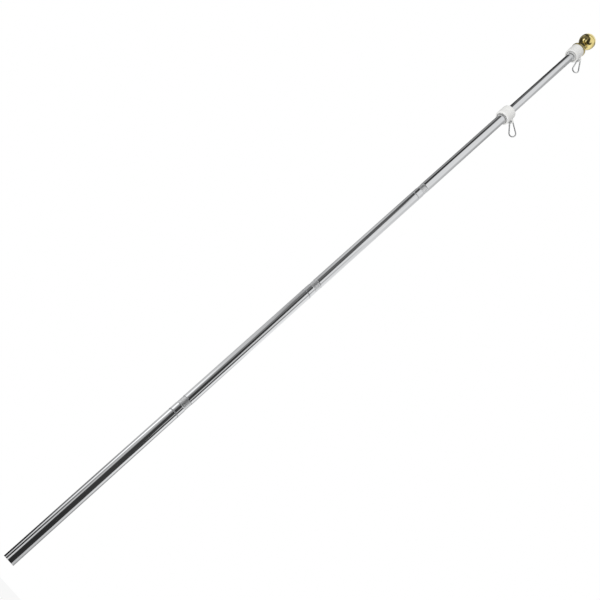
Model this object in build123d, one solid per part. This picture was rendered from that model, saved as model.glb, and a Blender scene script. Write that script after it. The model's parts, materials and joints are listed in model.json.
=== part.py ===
from build123d import *
from math import asin, atan2, cos, hypot, radians, sin
import os

# Sectional stainless flagpole with two free-turning flag rings, snap hooks and a gold ball
# finial.  Millimetres.  The pole stands along +Z, the middle of its foot's flat end is the
# origin, and the upper ring's eye points along +X.  Every piece is a turned outline or a wire
# bent in one plane, so the model is built from revolved profiles and swept paths.

# --- pole tubes ---------------------------------------------------------------------------
SECTION = 400.0          # pitch of the five screwed sections
TUBE_R = 12.7            # 25.4 mm tube, sections 1 to 4
TOP_TUBE_R = 11.1        # 22.2 mm tube, section 5
WALL = 0.8
EDGE = 0.3               # deburred tube ends
FULL_SECTIONS = 4

# --- screwed couplings --------------------------------------------------------------------
LIP = 2.0                # rounded collar that shows between two tubes
LIP_PROUD = 0.25
LIP_BEVEL = 0.6
WAIST_START = 20.0       # rolled waist that locks the coupling, above each collar
WAIST_LENGTH = 18.0
WAIST_DEPTH = 0.5
WAIST_SLOPE = 1.0        # height of the slope at each end of the waist
GROOVE_EASE = 0.5        # groove under the waist, longer at each end
GROOVE_PLAY = 0.1        # and deeper
SHANK_LENGTH = 44.0
THREAD_R = 8.0
THREAD_PLAY = 0.05
STUD_LENGTH = 22.0
SOCKET_LENGTH = 28.0
COUPLING_BORE_R = 4.5

# --- flag rings ---------------------------------------------------------------------------
RING_R = 20.0
RING_LENGTH = 36.0
RING_ROUND = 2.6
RUNNING_PLAY = 0.08      # radial play of the ring on its bush
BUSH_R = 15.1            # flanges of the bush, inside the ring's mouths
BUSH_LENGTH = 35.0
BUSH_FLANGE = 4.0
BUSH_WAIST_R = 13.9
BUSH_SPLIT = 1.6
BUSH_GRIP = 0.02         # gap between bush and tube
LOWER_RING_Z = 1601.5
UPPER_RING_Z = 1956.0
LOWER_FACING = -6.0      # direction of each ring's eye, turned about the pole from +X
UPPER_FACING = 0.0

# --- eye on each ring ---------------------------------------------------------------------
EYE_X = 27.0             # middle of the eye's cross bar, also the hook's hinge
EYE_RISE = 4.0           # eye above the ring's middle
EYE_BAR_R = 2.0
EYE_HALF_WIDTH = 8.0
EYE_CORNER_R = 5.0
EYE_ROOT_X = 17.5        # where the eye's legs end inside the ring's wall

# --- snap hooks ---------------------------------------------------------------------------
WIRE_R = 1.8
NARROW_R = 4.8           # bend radii of the wire's middle line
WIDE_R = 9.5
WIDE_SHIFT = 2.2         # middle of the wide bend, sideways and along from the narrow one
WIDE_DROP = 28.7
LOWER_HANG = 50.0        # long axis of each hook, from straight down the pole outwards
UPPER_HANG = 31.0
HOOK_TURN = 20.0         # hook turned about its long axis
PIVOT_AT = 6.0           # along the gate side, from the narrow bend
TANG_END = 9.0
TANG_HALF = 0.8
FORK_PLAY = 0.1
CHEEK_END = 1.0          # how far the flats run on past the piece they take
GATE_FOOT = 26.5
GATE_R = 1.9
NOSE_START = 27.0
NOSE_TIP = 23.6
GATE_SLOT_TOP = 10.0
GATE_NOTCH_TOP = 22.8
RIVET_R = 0.9
RIVET_HEAD_R = 1.5
RIVET_HEAD = 0.4
PIN_PLAY = 0.05

# --- finial -------------------------------------------------------------------------------
FLANGE_R = 21.0
FLANGE_Z = 1975.0
FLANGE_RIM = 4.5
RIM_BEVEL = 0.8
FLARE_TOP = 1985.0
FLARE_HOLLOW = 4.0       # round between the flare and the neck
NECK_R = 12.6
NECK_TOP = 1998.0
NECK_SHOULDER = 3.0      # round where the neck turns in towards the ball's seat
SEAT_R = 9.2
SEAT_RIM = 2.0
SEAT_Z = 2007.5
TUBE_TOP = 1994.0
BALL_R = 23.5
BALL_WALL = 1.2
BALL_FLATS = 8           # flats from pole to pole inside the ball
BALL_Z = 2028.0
SPIGOT_R = 6.4
SPIGOT_RISE = 5.0
PLUG_DEPTH = 24.0        # plug in the top tube
PLUG_CAP = 1.5
ROD_R = 4.0
ROD_RISE = 3.0           # rod's end above the ball's seat

# --- foot ---------------------------------------------------------------------------------
PLUG_LENGTH = 22.0
PLUG_FLOOR = 3.0
PLUG_WALL = 2.0

TUBE_BORE = TUBE_R - WALL
TOP_BORE = TOP_TUBE_R - WALL
HUB_TOP = LOWER_RING_Z + BUSH_LENGTH / 2
PARTS = {}


def turned(outline, rounds=()):
    """Turn a closed outline of (radius, height) corners about Z; rounds are (corner, radius)."""
    profile = make_face(Polyline(*[(r, 0, z) for r, z in outline], close=True))
    for (r, z), radius in rounds:
        corner = profile.vertices().sort_by_distance((r, 0, z))[0]
        profile = fillet(corner, radius)
    return revolve(profile, Axis.Z)


def pipe(radius, bottom, top):
    """Plain tube with its outer ends deburred."""
    return turned([(radius - WALL, bottom), (radius - EDGE, bottom), (radius, bottom + EDGE),
                   (radius, top - EDGE), (radius - EDGE, top), (radius - WALL, top)])


def waisted_tube(bottom, top, seam):
    """Tube with the rolled waist, which bends the wall inwards without thinning it."""
    low = seam + WAIST_START
    high = low + WAIST_LENGTH
    waist = TUBE_R - WAIST_DEPTH
    bends = [(TUBE_R, low - WAIST_SLOPE), (waist, low), (waist, high), (TUBE_R, high + WAIST_SLOPE)]
    outer = [(TUBE_R - EDGE, bottom), (TUBE_R, bottom + EDGE), *bends,
             (TUBE_R, top - EDGE), (TUBE_R - EDGE, top)]
    inner = [(r - WALL, z) for r, z in reversed(bends)]
    return turned([*outer, (TUBE_BORE, top), *inner, (TUBE_BORE, bottom)])


def socket(seam, bore):
    """Threaded sleeve flush with the top end of a tube."""
    top = seam - LIP / 2
    return turned([(THREAD_R + THREAD_PLAY, top - SOCKET_LENGTH), (bore, top - SOCKET_LENGTH),
                   (bore, top), (THREAD_R + THREAD_PLAY, top)])


def stud(seam):
    """Male coupling: threaded end, bevelled collar, and a shank with the groove for the waist."""
    low = seam - LIP / 2
    high = seam + LIP / 2
    groove_low = seam + WAIST_START - GROOVE_EASE
    groove_high = seam + WAIST_START + WAIST_LENGTH + GROOVE_EASE
    groove_r = TUBE_BORE - WAIST_DEPTH - GROOVE_PLAY
    collar = TUBE_R + LIP_PROUD
    return turned([(COUPLING_BORE_R, low - STUD_LENGTH), (THREAD_R, low - STUD_LENGTH),
                   (THREAD_R, low), (collar - LIP_BEVEL, low), (collar, low + LIP_BEVEL),
                   (collar, high - LIP_BEVEL), (collar - LIP_BEVEL, high), (TUBE_BORE, high),
                   (TUBE_BORE, groove_low - WAIST_SLOPE), (groove_r, groove_low),
                   (groove_r, groove_high), (TUBE_BORE, groove_high + WAIST_SLOPE),
                   (TUBE_BORE, high + SHANK_LENGTH), (COUPLING_BORE_R, high + SHANK_LENGTH)])


def reducer_hub(seam):
    """Coupling from the wide tube to the top tube; its collar carries the lower ring's bush."""
    low = seam - LIP / 2
    return turned([(COUPLING_BORE_R, low - STUD_LENGTH), (THREAD_R, low - STUD_LENGTH),
                   (THREAD_R, low), (TUBE_R, low), (TUBE_R, HUB_TOP), (TOP_BORE, HUB_TOP),
                   (TOP_BORE, HUB_TOP + SHANK_LENGTH), (COUPLING_BORE_R, HUB_TOP + SHANK_LENGTH)])


def bush(middle, tube_r):
    """Split spool that grips the tube; the ring's inner rib turns between its two flanges."""
    low = middle - BUSH_LENGTH / 2
    high = middle + BUSH_LENGTH / 2
    bore = tube_r + BUSH_GRIP
    spool = turned([(bore, low), (BUSH_R, low), (BUSH_R, low + BUSH_FLANGE),
                    (BUSH_WAIST_R, low + BUSH_FLANGE), (BUSH_WAIST_R, high - BUSH_FLANGE),
                    (BUSH_R, high - BUSH_FLANGE), (BUSH_R, high), (bore, high)])
    split = Location((-BUSH_R, 0, middle)) * Box(BUSH_R, BUSH_SPLIT, BUSH_LENGTH * 2)
    return spool - split


def ring(middle):
    """Barrel with open mouths, an inner running rib, and a moulded eye on its side."""
    low = middle - RING_LENGTH / 2
    high = middle + RING_LENGTH / 2
    mouth = BUSH_R + RUNNING_PLAY
    rib = BUSH_WAIST_R + RUNNING_PLAY
    rib_half = BUSH_LENGTH / 2 - BUSH_FLANGE - RUNNING_PLAY
    outline = [(mouth, low), (RING_R, low), (RING_R, high), (mouth, high),
               (mouth, middle + rib_half), (rib, middle + rib_half),
               (rib, middle - rib_half), (mouth, middle - rib_half)]
    barrel = turned(outline, [(outline[1], RING_ROUND), (outline[2], RING_ROUND)])
    return barrel + eye(middle + EYE_RISE)


def eye(height):
    """Round bar bent into a D whose legs grow out of the ring's wall."""
    path = FilletPolyline((EYE_ROOT_X, -EYE_HALF_WIDTH, height), (EYE_X, -EYE_HALF_WIDTH, height),
                          (EYE_X, EYE_HALF_WIDTH, height), (EYE_ROOT_X, EYE_HALF_WIDTH, height),
                          radius=EYE_CORNER_R)
    return sweep(Plane(path @ 0, z_dir=path % 0) * Circle(EYE_BAR_R), path=path)


def side_line(side):
    """Tangent of the two bends on one side (-1 gate, +1 spine): its two ends and direction."""
    lean = atan2(WIDE_SHIFT, WIDE_DROP)
    spread = asin((WIDE_R - NARROW_R) / hypot(WIDE_SHIFT, WIDE_DROP))
    angle = lean + side * spread
    along = Vector(sin(angle), cos(angle), 0)
    outward = Vector(side * cos(angle), -side * sin(angle), 0)
    return outward * NARROW_R, Vector(WIDE_SHIFT, WIDE_DROP, 0) + outward * WIDE_R, along


GATE_TOP, GATE_BOTTOM, GATE_DIR = side_line(-1)
SPINE_TOP, SPINE_BOTTOM, _ = side_line(+1)


def on_gate(distance):
    """Point on the gate side, measured from the narrow bend."""
    return GATE_TOP + GATE_DIR * distance


def cheeks(start, end, half):
    """Two blocks that leave a flat tang of half-thickness `half` between two stations."""
    wide = GATE_R * 4
    frame = Plane(on_gate((start + end) / 2), x_dir=GATE_DIR, z_dir=(0, 0, 1))
    blocks = [Location((0, 0, side * (half + wide / 2))) * Box(end - start, wide, wide)
              for side in (-1, 1)]
    return frame.location * Compound(blocks)


def gate_bar(start, end, radius):
    """Round bar between two stations of the gate side."""
    return Plane(on_gate(start), z_dir=GATE_DIR) * Cylinder(
        radius, end - start, align=(Align.CENTER, Align.CENTER, Align.MIN))


def rivet_shank(radius, half_length):
    """Cylinder across the hook at the gate's pivot."""
    return Location(on_gate(PIVOT_AT)) * Cylinder(radius, 2 * half_length)


def hook_body():
    """Pear-shaped wire, open on the gate side, flattened where the gate hinges and closes."""
    top = ThreePointArc(GATE_TOP, (0, -NARROW_R, 0), SPINE_TOP)
    bottom = ThreePointArc(SPINE_BOTTOM, (WIDE_SHIFT, WIDE_DROP + WIDE_R, 0), GATE_BOTTOM)
    path = Wire([Line(on_gate(TANG_END), GATE_TOP).edge(), top.edge(),
                 Line(SPINE_TOP, SPINE_BOTTOM).edge(), bottom.edge(),
                 Line(GATE_BOTTOM, on_gate(NOSE_TIP)).edge()])
    wire = sweep(Plane(path @ 0, z_dir=path % 0) * Circle(WIRE_R), path=path)
    wire -= cheeks(PIVOT_AT - GATE_R - CHEEK_END, TANG_END + CHEEK_END, TANG_HALF)
    wire -= cheeks(NOSE_TIP - CHEEK_END, NOSE_START, TANG_HALF)
    return wire - rivet_shank(RIVET_R, WIRE_R * 2)


def gate():
    """Straight bar with a rounded fork over the tang and a notch that closes over the nose."""
    bar = gate_bar(PIVOT_AT, GATE_FOOT, GATE_R)
    bar += rivet_shank(GATE_R, GATE_R) & gate_bar(PIVOT_AT - GATE_R, PIVOT_AT + GATE_R, GATE_R)
    slot_half = TANG_HALF + FORK_PLAY
    wide = GATE_R * 4
    slots = ((PIVOT_AT - GATE_R - CHEEK_END, GATE_SLOT_TOP),
             (GATE_NOTCH_TOP, GATE_FOOT + CHEEK_END))
    for start, end in slots:
        frame = Plane(on_gate((start + end) / 2), x_dir=GATE_DIR, z_dir=(0, 0, 1))
        bar -= frame.location * Box(end - start, wide, 2 * slot_half)
    return bar - rivet_shank(RIVET_R + PIN_PLAY, WIRE_R * 2)


def rivet():
    """Gate rivet with two low heads outside the fork."""
    face = GATE_R + PIN_PLAY
    pin = rivet_shank(RIVET_R, face)
    for side in (-1, 1):
        head = on_gate(PIVOT_AT) + Vector(0, 0, side * (face + RIVET_HEAD / 2))
        pin += Location(head) * Cylinder(RIVET_HEAD_R, RIVET_HEAD)
    return pin


def hook_frame(height, side, hang_angle):
    """Plane of a hanging hook: y down its long axis, x across it, side -1 turns it front to back."""
    hang = radians(hang_angle)
    turn = radians(HOOK_TURN)
    along = Vector(sin(hang), 0, -cos(hang))
    across = Vector(cos(hang) * cos(turn), -sin(turn), sin(hang) * cos(turn)) * side
    return Plane((EYE_X, 0, height), x_dir=across, z_dir=across.cross(along))


def finial_plug():
    """Plug in the top tube's end, with the rod that the finial screws on."""
    cap = TUBE_TOP + PLUG_CAP
    return turned([(0, TUBE_TOP - PLUG_DEPTH), (TOP_BORE, TUBE_TOP - PLUG_DEPTH),
                   (TOP_BORE, TUBE_TOP), (TOP_TUBE_R, TUBE_TOP), (TOP_TUBE_R, cap),
                   (ROD_R, cap), (ROD_R, SEAT_Z + ROD_RISE), (0, SEAT_Z + ROD_RISE)])


def finial_socket():
    """Flared collar over the pole's end, with a neck that carries the ball."""
    bore = TOP_TUBE_R + PIN_PLAY
    roof = TUBE_TOP + PLUG_CAP
    rod = ROD_R + PIN_PLAY
    flare_foot = FLANGE_Z + FLANGE_RIM
    hollow = (NECK_R, FLARE_TOP)
    shoulder = (NECK_R, NECK_TOP)
    outline = [(FLANGE_R - RIM_BEVEL, FLANGE_Z), (FLANGE_R, FLANGE_Z + RIM_BEVEL),
               (FLANGE_R, flare_foot - RIM_BEVEL), (FLANGE_R - RIM_BEVEL, flare_foot),
               hollow, shoulder, (SEAT_R, SEAT_Z - SEAT_RIM), (SEAT_R, SEAT_Z),
               (SPIGOT_R, SEAT_Z), (SPIGOT_R, SEAT_Z + SPIGOT_RISE), (rod, SEAT_Z + SPIGOT_RISE),
               (rod, roof), (bore, roof), (bore, FLANGE_Z)]
    return turned(outline, [(hollow, FLARE_HOLLOW), (shoulder, NECK_SHOULDER)])


def finial_ball():
    """Spun ball, hollow, cut flat below where it sits on the neck and open for the spigot."""
    inner = BALL_R - BALL_WALL
    turns = [radians(180 * step / BALL_FLATS) for step in range(BALL_FLATS + 1)]
    hollow = turned([(inner * sin(turn), BALL_Z - inner * cos(turn)) for turn in turns])
    ball = Location((0, 0, BALL_Z)) * Sphere(BALL_R) - hollow
    below = Location((0, 0, SEAT_Z - BALL_R)) * Cylinder(BALL_R, 2 * BALL_R)
    opening = Location((0, 0, SEAT_Z)) * Cylinder(SPIGOT_R + PIN_PLAY, BALL_R)
    return ball - below - opening


def foot_plug():
    """Cup-shaped end plug, flush with the pole's foot."""
    return turned([(0, 0), (TUBE_BORE, 0), (TUBE_BORE, PLUG_LENGTH),
                   (TUBE_BORE - PLUG_WALL, PLUG_LENGTH), (TUBE_BORE - PLUG_WALL, PLUG_FLOOR),
                   (0, PLUG_FLOOR)])


def build_pole():
    """Foot plug, five tubes and the couplings between them."""
    PARTS["foot_plug"] = foot_plug()
    PARTS["tube_1"] = pipe(TUBE_R, 0, SECTION - LIP / 2)
    for number in range(1, FULL_SECTIONS):
        seam = number * SECTION
        PARTS[f"tube_{number + 1}"] = waisted_tube(seam + LIP / 2, seam + SECTION - LIP / 2, seam)
        PARTS[f"stud_{number}"] = stud(seam)
    for number in range(1, FULL_SECTIONS + 1):
        PARTS[f"socket_{number}"] = socket(number * SECTION, TUBE_BORE)
    PARTS["reducer_hub"] = reducer_hub(FULL_SECTIONS * SECTION)
    PARTS["tube_5"] = pipe(TOP_TUBE_R, HUB_TOP, TUBE_TOP)


def build_ring(name, middle, tube_r, side, hang_angle, facing):
    """One flag ring on its bush, with its snap hook."""
    faced = Rotation(0, 0, facing)
    place = faced * hook_frame(middle + EYE_RISE, side, hang_angle).location
    PARTS[f"{name}_bush"] = bush(middle, tube_r)
    PARTS[f"{name}_ring"] = faced * ring(middle)
    PARTS[f"{name}_hook"] = place * hook_body()
    PARTS[f"{name}_gate"] = place * gate()
    PARTS[f"{name}_rivet"] = place * rivet()


def build_finial():
    """Ball, flared socket and the plug that fixes them."""
    PARTS["finial_plug"] = finial_plug()
    PARTS["finial_socket"] = finial_socket()
    PARTS["finial_ball"] = finial_ball()


build_pole()
build_ring("lower", LOWER_RING_Z, TUBE_R, 1, LOWER_HANG, LOWER_FACING)
build_ring("upper", UPPER_RING_Z, TOP_TUBE_R, -1, UPPER_HANG, UPPER_FACING)
build_finial()

os.makedirs("parts", exist_ok=True)
for node, solid in PARTS.items():
    export_step(solid, f"parts/{node}.step")
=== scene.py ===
import json
from math import asin, atan2, cos, hypot, pi, radians, sin, tau

import bmesh
import bpy
import numpy as np
from mathutils import Matrix, Vector


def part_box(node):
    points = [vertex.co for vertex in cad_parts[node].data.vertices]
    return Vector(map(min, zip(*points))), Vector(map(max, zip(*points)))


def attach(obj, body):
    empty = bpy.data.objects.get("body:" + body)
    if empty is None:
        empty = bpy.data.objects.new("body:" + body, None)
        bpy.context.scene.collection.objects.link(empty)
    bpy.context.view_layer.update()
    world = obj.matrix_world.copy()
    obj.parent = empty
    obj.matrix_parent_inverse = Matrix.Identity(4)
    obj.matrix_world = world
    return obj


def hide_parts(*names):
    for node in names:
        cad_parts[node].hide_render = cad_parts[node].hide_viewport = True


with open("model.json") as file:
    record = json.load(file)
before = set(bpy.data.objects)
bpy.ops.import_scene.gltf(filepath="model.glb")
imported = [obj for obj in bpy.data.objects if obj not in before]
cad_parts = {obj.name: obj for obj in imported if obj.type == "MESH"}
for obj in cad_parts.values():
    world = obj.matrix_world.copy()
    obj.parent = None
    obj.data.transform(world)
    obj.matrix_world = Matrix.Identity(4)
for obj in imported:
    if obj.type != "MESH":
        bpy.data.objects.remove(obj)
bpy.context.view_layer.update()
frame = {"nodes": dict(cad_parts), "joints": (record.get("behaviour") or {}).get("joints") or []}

bl_info = {
    "name": "Sectional flagpole",
    "version": (1, 0, 0),
    "blender": (4, 5, 0),
    "location": "3D View > Sidebar > Flagpole",
    "description": "Polished sectional pole with turning flag rings, snap hooks and a ball finial",
    "category": "Object",
}

MM = 0.001
CREASE = radians(35)                     # sharper edges than this stay sharp
SLIGHT_CORNER = radians(40)              # slighter corners get holding points
HOLD = 0.05 * MM                         # from a slight corner to its holding points
ARC_HOLD = 0.15                          # from an arc to its holding points, in radii
BAR_SIDES = 32                           # faces round a bar
BUSH_STEPS = 97                          # points round a split bush
EYE_LEG_STEPS, EYE_BEND_STEPS = 18, 16   # points along a leg and a bend of the eye
STUB_STEPS, NARROW_STEPS, SPINE_STEPS = 40, 28, 12    # points along the hook's wire
WIDE_STEPS, NOSE_STEPS = 44, 30
BALL_STEPS = 96                          # points from the ball's top down to its seat
WAIST_SLOPE = 2                          # length of a slope of the waist, in depths
RINGS = {"lower": 1, "upper": -1}        # side that each hook's gate is turned to
TUBES = {"lower": "tube_4", "upper": "tube_5"}    # tube that each ring sits on
FINISHES = {}                            # materials made so far


def linear(code):
    """sRGB hex to linear light: each channel goes through the sRGB transfer curve."""
    channels = [int(code[i:i + 2], 16) / 255 for i in (1, 3, 5)]
    return tuple(c / 12.92 if c <= 0.04045 else ((c + 0.055) / 1.055) ** 2.4 for c in channels)


def length(name, description, millimetres):
    """Length property with its default in millimetres."""
    return bpy.props.FloatProperty(name=name, description=description, default=millimetres * MM,
                                   min=0, subtype="DISTANCE", unit="LENGTH")


def tilt(name, description, degrees):
    """Angle property with its default in degrees."""
    return bpy.props.FloatProperty(name=name, description=description, default=radians(degrees),
                                   subtype="ANGLE", unit="ROTATION")


def colour(name, description, code):
    """Colour property with its default as an sRGB hex value."""
    return bpy.props.FloatVectorProperty(name=name, description=description, size=3, min=0, max=1,
                                         subtype="COLOR", default=linear(code))


# --- settings -------------------------------------------------------------------------------
class PoleSettings(bpy.types.PropertyGroup):
    """Sizes of the tubes and their couplings."""
    turns: bpy.props.IntProperty(
        name="Turns", description="Faces round a turned piece", default=128, min=24, max=512)
    wall: length("Wall", "Wall of the tubes", 0.8)
    edge: length("Edge", "Rounding of the tubes' ends", 0.3)
    lip: length("Lip", "Height of the collar between two tubes", 2.0)
    lip_round: length("Lip rounding", "Rounding of the collar", 0.8)
    waist_start: length("Waist start", "From a joint up to its rolled waist", 20.0)
    waist_length: length("Waist length", "Height of the rolled waist", 18.0)
    waist_depth: length("Waist depth", "Depth of the rolled waist", 0.5)
    waist_bend: length("Waist bend", "Radius of the waist's bends", 0.8)
    bore: length("Coupling bore", "Radius of the hole through the couplings", 4.5)
    thread: length("Thread", "Radius of the screwed joint", 8.0)
    coupling_round: length("Coupling rounding", "Rounding of the couplings' ends", 0.5)
    groove_play: length("Groove play", "Play between a coupling's groove and the waist", 0.1)
    plug_wall: length("Plug wall", "Wall of the foot plug", 2.0)
    plug_floor: length("Plug floor", "Floor of the foot plug", 3.0)
    plug_base_round: length("Plug base rounding", "Rounding round the plug's face", 0.4)
    plug_rim_round: length("Plug rim rounding", "Rounding of the plug's rim", 0.3)
    plug_hollow_round: length("Plug hollow rounding", "Rounding inside the plug", 1.0)


class RingSettings(bpy.types.PropertyGroup):
    """Sizes of the flag rings and their bushes."""
    mouth_round: length("Mouth rounding", "Rounding of the barrel's outer edges", 2.6)
    inner_round: length("Inner rounding", "Rounding of the barrel's mouth inside", 0.5)
    bush_radius: length("Bush radius", "Radius of the bush's flanges", 15.1)
    bush_waist: length("Bush waist", "Radius of the bush between its flanges", 13.9)
    bush_flange: length("Bush flange", "Height of each flange of the bush", 4.0)
    bush_split: length("Bush split", "Width of the split in the bush", 1.6)
    bush_gap: length("Bush gap", "Gap between the bush and its tube", 0.02)
    bush_bore_round: length("Bush bore rounding", "Rounding of the bush's bore", 0.3)
    bush_rim_round: length("Bush rim rounding", "Rounding of the bush's rims", 0.6)
    groove_round: length("Groove rounding", "Rounding of bush and rib where they meet", 0.2)
    play: length("Play", "Radial play between ring and bush", 0.08)
    parting: length("Parting line", "Height of the moulding line round the barrel", 0.08)
    parting_half: length("Parting half width", "Half the width of the moulding line", 0.25)
    eye_bar: length("Eye bar", "Radius of the eye's bar", 2.0)
    eye_half_width: length("Eye half width", "Half the width of the eye, to the bar's middle", 8.0)
    eye_corner: length("Eye corner", "Bend radius of the eye", 5.0)
    eye_fillet: length("Eye fillet", "Swelling of the bar where it grows out of the barrel", 1.1)
    eye_fillet_reach: length("Fillet reach", "Length over which the swelling falls off", 2.2)
    eye_root: length("Eye root", "Depth of the eye's legs in the barrel's wall", 2.7)
    # The next two widths belong to the dark band painted on the bushes' rims as painted shade for
    # the shadow in the gap round the tube: its width, and the width over which it fades.
    grease: length("Grease", "Width of the grease on the bush's rims", 1.2)
    grease_edge: length("Grease edge", "Width over which the grease ends", 0.3)
    nylon: colour("Nylon", "Moulded nylon", "#EFEFED")


class HookSettings(bpy.types.PropertyGroup):
    """Sizes of the snap hooks."""
    wire: length("Wire", "Radius of the wire", 1.8)
    narrow: length("Narrow bend", "Radius of the upper bend", 4.8)
    wide: length("Wide bend", "Radius of the lower bend", 9.5)
    wide_shift: length("Wide shift", "Sideways step from the upper bend to the lower", 2.2)
    wide_drop: length("Wide drop", "Distance from the upper bend to the lower", 28.7)
    lower_hang: tilt("Lower hang", "Lower hook's long axis from straight down", 50)
    upper_hang: tilt("Upper hang", "Upper hook's long axis from straight down", 31)
    turn: tilt("Turn", "Hook turned about its long axis", 20)
    tang_half: length("Tang", "Half the thickness of the flattened ends", 0.8)
    tang_start: length("Tang start", "From the upper bend down to the gate's tang", 3.1)
    tang_end: length("Tang end", "From the upper bend down to the tang's end", 9.0)
    nose_tip: length("Nose tip", "From the upper bend down to the nose's tip", 23.6)
    nose_start: length("Nose start", "From the upper bend down to the nose's flats", 27.0)
    flat_slope: length("Flat slope", "Length of the slope at the end of a flat", 0.5)
    tip_round: length("Tip rounding", "Length over which the wire's ends draw in", 0.6)
    tip_share: bpy.props.FloatProperty(
        name="Tip share", description="Share of the wire's radius left at its ends",
        default=0.55, min=0, max=1)


class FinialSettings(bpy.types.PropertyGroup):
    """Sizes of the finial."""
    rim: length("Rim", "Height of the flange's rim", 4.5)
    rim_round: length("Rim rounding", "Rounding of the rim", 1.0)
    neck: length("Neck", "Radius of the neck", 12.6)
    flare_top: length("Flare", "Height of the flare from the flange", 10.0)
    neck_top: length("Neck height", "Height of the neck from the flange", 23.0)
    seat: length("Seat", "Radius of the ball's seat", 9.2)
    seat_height: length("Seat height", "Height of the ball's seat from the flange", 32.5)
    spigot: length("Spigot", "Radius of the spigot inside the ball", 6.4)
    ball: length("Ball", "Radius of the ball", 23.5)
    ball_wall: length("Ball wall", "Wall of the spun ball", 1.2)
    ball_turns: bpy.props.IntProperty(
        name="Ball turns", description="Faces round the ball", default=192, min=24, max=512)
    play: length("Play", "Play between the socket and its tube, and the spigot and the ball", 0.05)
    rod: length("Rod hole", "Radius of the hole for the plug's rod", 4.05)
    roof: length("Roof", "Height of the socket's bore above the tube", 1.5)
    flare_round: length("Flare rounding", "Hollow between the flare and the neck", 4.0)
    shoulder_round: length("Shoulder rounding", "Rounding at the top of the neck", 3.0)
    seat_rim: length("Seat rim", "Height of the rim under the ball's seat", 2.0)
    seat_hollow: length("Seat hollow", "Rounding under the seat's rim", 0.5)
    seat_round: length("Seat rounding", "Rounding of the ball's seat", 0.2)
    spigot_round: length("Spigot rounding", "Rounding of the spigot's end", 0.3)
    bore_round: length("Bore rounding", "Rounding of the socket's bore", 0.4)


class StageSettings(bpy.types.PropertyGroup):
    """Camera, light and floor."""
    camera_place: bpy.props.FloatVectorProperty(
        name="Camera", description="Place of the camera", default=(-0.5846, -1.484, 0.0),
        subtype="TRANSLATION", unit="LENGTH")
    camera_aim: bpy.props.FloatVectorProperty(
        name="Aim", description="Point in the middle of the view", default=(0.0011, 0.0, 0.7799),
        subtype="TRANSLATION", unit="LENGTH")
    camera_roll: bpy.props.FloatProperty(
        name="Roll", description="Camera turned about its axis", default=radians(48.1),
        subtype="ANGLE", unit="ROTATION")
    lens: bpy.props.FloatProperty(
        name="Lens", description="Focal length", default=48.0, min=1, subtype="DISTANCE_CAMERA")
    floor_drop: bpy.props.FloatProperty(
        name="Floor", description="Floor below the pole's foot", default=0.25,
        subtype="DISTANCE", unit="LENGTH")
    floor_lift: bpy.props.FloatProperty(
        name="Floor lift", description="Glow that makes the floor white", default=0.35, min=0)
    pole_reach: length("Pole cards", "Radius on which the pole's cards stand", 2000.0)
    ball_reach: length("Ball cards", "Radius of the cards round the ball", 320.0)
    fill: bpy.props.FloatProperty(
        name="Fill", description="Strength of the surrounding light", default=0.65, min=0)


# --- surfaces -------------------------------------------------------------------------------
def rounded(corners, rounds, steps=6):
    """Closed outline of (radius, height) corners, in metres, with arcs of the given radii.

    An arc of radius r in a corner of inner angle a starts r / tan(a / 2) from the corner, and
    its middle lies r / sin(a / 2) along the corner's bisector.  Its points turn evenly from
    the first touching point to the second about that middle.  A holding point before and
    after each arc keeps the shading of the straight stretches straight.
    """
    corners = np.array(corners, float)
    before = np.roll(corners, 1, 0) - corners
    after = np.roll(corners, -1, 0) - corners
    before /= np.linalg.norm(before, axis=1)[:, None]
    after /= np.linalg.norm(after, axis=1)[:, None]
    share = np.linspace(0, 1, steps)[:, None]
    outline = []
    for corner, to_last, to_next, radius in zip(corners, before, after, rounds):
        if radius == 0:
            if to_last @ to_next < -cos(SLIGHT_CORNER):
                outline.append(corner + HOLD * np.array([to_last, (0, 0), to_next]))
            else:
                outline.append(corner[None])
            continue
        half = np.arccos(np.clip(to_last @ to_next, -1, 1)) / 2
        bisector = (to_last + to_next) / np.linalg.norm(to_last + to_next)
        middle = corner + bisector * radius / np.sin(half)
        start = corner + to_last * radius / np.tan(half) - middle
        end = corner + to_next * radius / np.tan(half) - middle
        swing = pi - 2 * half
        arc = (np.sin((1 - share) * swing) * start + np.sin(share * swing) * end) / np.sin(swing)
        held = radius * ARC_HOLD
        outline.append(middle + np.concatenate([[start + to_last * held], arc,
                                                [end + to_next * held]]))
    return np.concatenate(outline)


def smooth(share):
    """Share held to 0 and 1 and eased in and out as 3t^2 - 2t^3."""
    share = np.clip(share, 0, 1)
    return share ** 2 * (3 - 2 * share)


def anticlockwise(outline):
    """The outline in the order that makes a turned surface face outwards."""
    r, z = outline.T
    area = np.sum(r * np.roll(z, -1) - np.roll(r, -1) * z)
    return outline if area > 0 else outline[::-1]


def grid_faces(rows, columns, close_rows, close_columns):
    """Four corners of each cell of a grid, wrapped round in the directions that close."""
    row = np.arange(rows if close_rows else rows - 1)[:, None]
    column = np.arange(columns if close_columns else columns - 1)[None, :]
    next_row = (row + 1) % rows
    next_column = (column + 1) % columns
    cells = [row * columns + column, row * columns + next_column,
             next_row * columns + next_column, next_row * columns + column]
    return np.stack(np.broadcast_arrays(*cells), -1).reshape(-1, 4)


def make_piece(name, points, faces, finishes, finish_index=None, weld=True):
    """Mesh object from a grid of points, its poles' doubles welded and its corners sharp."""
    mesh = bpy.data.meshes.new(name)
    mesh.from_pydata(points.reshape(-1, 3).tolist(), [], faces.tolist())
    for finish in finishes:
        mesh.materials.append(finish)
    if finish_index is not None:
        mesh.polygons.foreach_set("material_index", finish_index.astype(np.int32))
    shape = bmesh.new()
    shape.from_mesh(mesh)
    if weld:
        bmesh.ops.remove_doubles(shape, verts=shape.verts, dist=1e-7)
    shape.to_mesh(mesh)
    shape.free()
    mesh.shade_smooth()
    mesh.set_sharp_from_angle(angle=CREASE)
    piece = bpy.data.objects.new(name, mesh)
    bpy.context.scene.collection.objects.link(piece)
    return piece


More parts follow.
